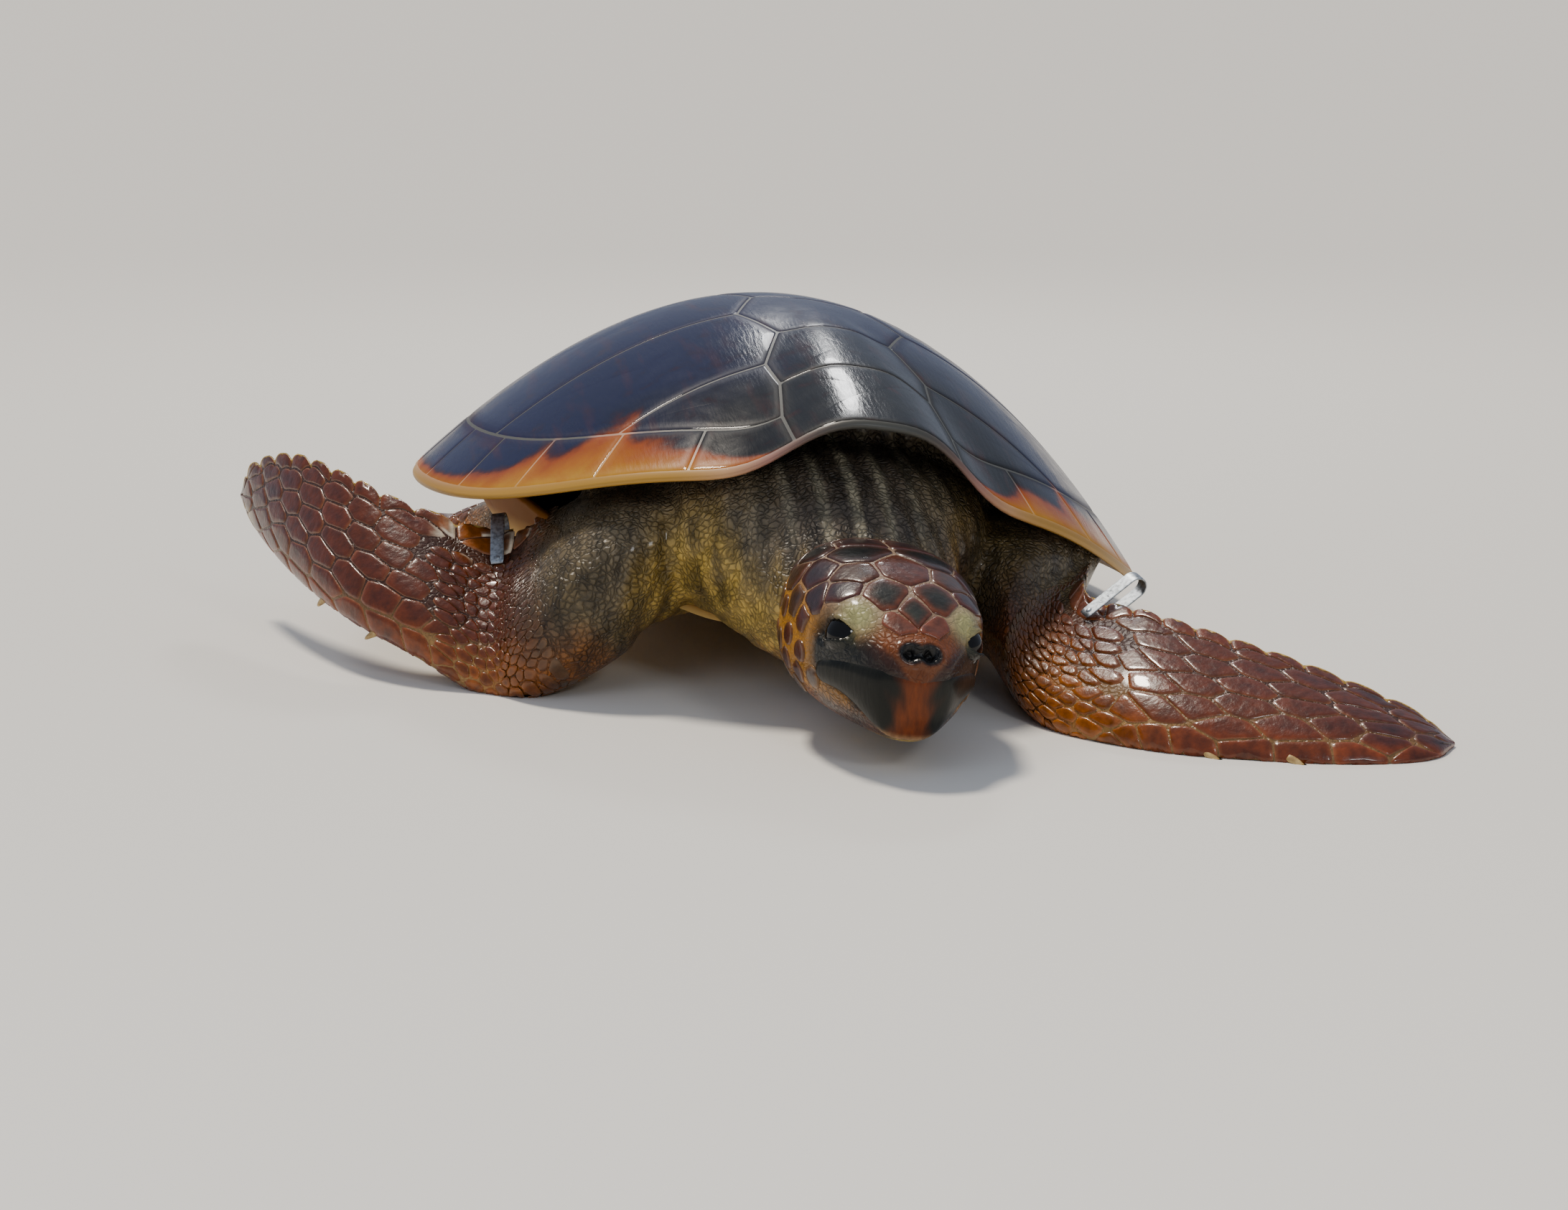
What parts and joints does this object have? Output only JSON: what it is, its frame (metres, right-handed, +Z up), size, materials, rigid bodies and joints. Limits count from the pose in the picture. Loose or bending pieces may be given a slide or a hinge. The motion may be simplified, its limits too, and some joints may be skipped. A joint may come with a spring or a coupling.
{
  "type": "loggerhead turtle",
  "caption": "Life-size loggerhead sea turtle resting on the ground, head low, front flippers spread, a metal tag on each of them.",
  "frame": {"origin": "on the floor under the middle of the whole animal's box", "axes": "+Y towards the tail, so the head points along -Y; +X to the turtle's left; +Z up"},
  "size_m": [0.7296, 0.935, 0.2339],
  "materials": {
    "carapace_horn": "wet, glossy horn, near-black brown to amber at the rim",
    "plastron_horn": "smooth pale yellow horn",
    "skin": "wet, finely wrinkled skin, grey-brown above and orange-yellow below",
    "flipper_scales": "wet mahogany scales with pale tan borders",
    "head_plates": "glossy dark plates with pale seams",
    "beak_horn": "worn, half-glossy horn",
    "eye": "wet and nearly black",
    "claw_horn": "dull horn",
    "tag_metal": "dull grey metal sheet"
  },
  "bodies": {
    "root": {"carapace": "carapace_horn", "plastron": "plastron_horn", "trunk": "skin", "neck": "skin", "tail": "skin", "head": "head_plates", "lower_jaw": "skin", "upper_beak": "beak_horn", "lower_beak": "beak_horn", "eye_left": "eye", "eye_right": "eye", "upper_arm_left": "skin", "upper_arm_right": "skin", "fore_flipper_left": "flipper_scales", "fore_flipper_right": "flipper_scales", "hind_flipper_left": "flipper_scales", "hind_flipper_right": "flipper_scales", "claw_fore_left_1": "claw_horn", "claw_fore_left_2": "claw_horn", "claw_fore_right_1": "claw_horn", "claw_fore_right_2": "claw_horn", "claw_hind_left_1": "claw_horn", "claw_hind_left_2": "claw_horn", "claw_hind_right_1": "claw_horn", "claw_hind_right_2": "claw_horn", "flipper_tag_left": "tag_metal", "flipper_tag_right": "tag_metal"}
  },
  "joints": []
}
